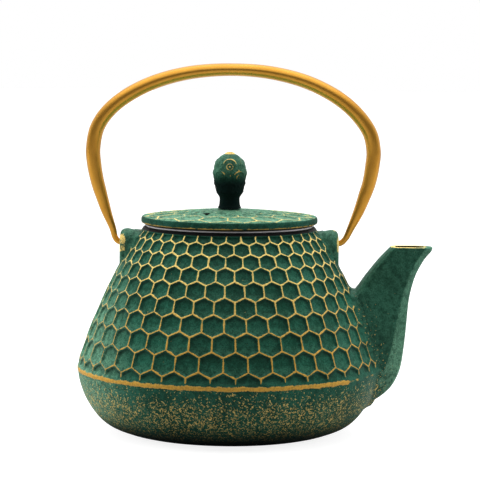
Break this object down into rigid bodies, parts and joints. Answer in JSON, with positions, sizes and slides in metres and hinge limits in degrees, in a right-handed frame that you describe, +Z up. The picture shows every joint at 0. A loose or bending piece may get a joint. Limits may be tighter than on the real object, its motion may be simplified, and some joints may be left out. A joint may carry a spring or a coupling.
{
  "type": "cast iron teapot",
  "caption": "Cast iron teapot with honeycomb body, short spout, swinging bail handle, knobbed lid and lift-out tea infuser.",
  "frame": {"origin": "centre of the flat round underside, where the pot's axis meets the table", "axes": "+Z up along the pot's axis, +X towards the spout, the bail's hinge line along X"},
  "size_m": [0.1852, 0.158, 0.1921],
  "materials": {
    "green_iron": "matt green coating on rough castings, worn to gold on the raised edges, black enamel inside",
    "gold_paint": "satin metallic gold paint on rolled steel",
    "stainless": "plain bright stainless steel"
  },
  "bodies": {
    "pot": {"pot_body": "green_iron"},
    "infuser": {"infuser_rim": "stainless", "infuser_wall": "stainless", "infuser_cup": "stainless", "infuser_floor": "stainless"},
    "lid": {"lid_plate": "green_iron", "lid_knob": "green_iron", "knob_washer": "stainless", "knob_screw": "stainless"},
    "bail": {"bail": "gold_paint"}
  },
  "joints": [
    {"name": "bail_swing", "type": "hinge", "parent": "pot", "child": "bail", "pos_m": [0, 0, 0.0989], "axis": [1, 0, 0], "range_deg": [-118, 118]},
    {"name": "infuser_lift", "type": "slide", "parent": "pot", "child": "infuser", "axis": [0, 0, 1], "range_m": [0, 0.036]},
    {"name": "lid_lift", "type": "slide", "parent": "infuser", "child": "lid", "axis": [0, 0, 1], "range_m": [0, 0.036]}
  ]
}
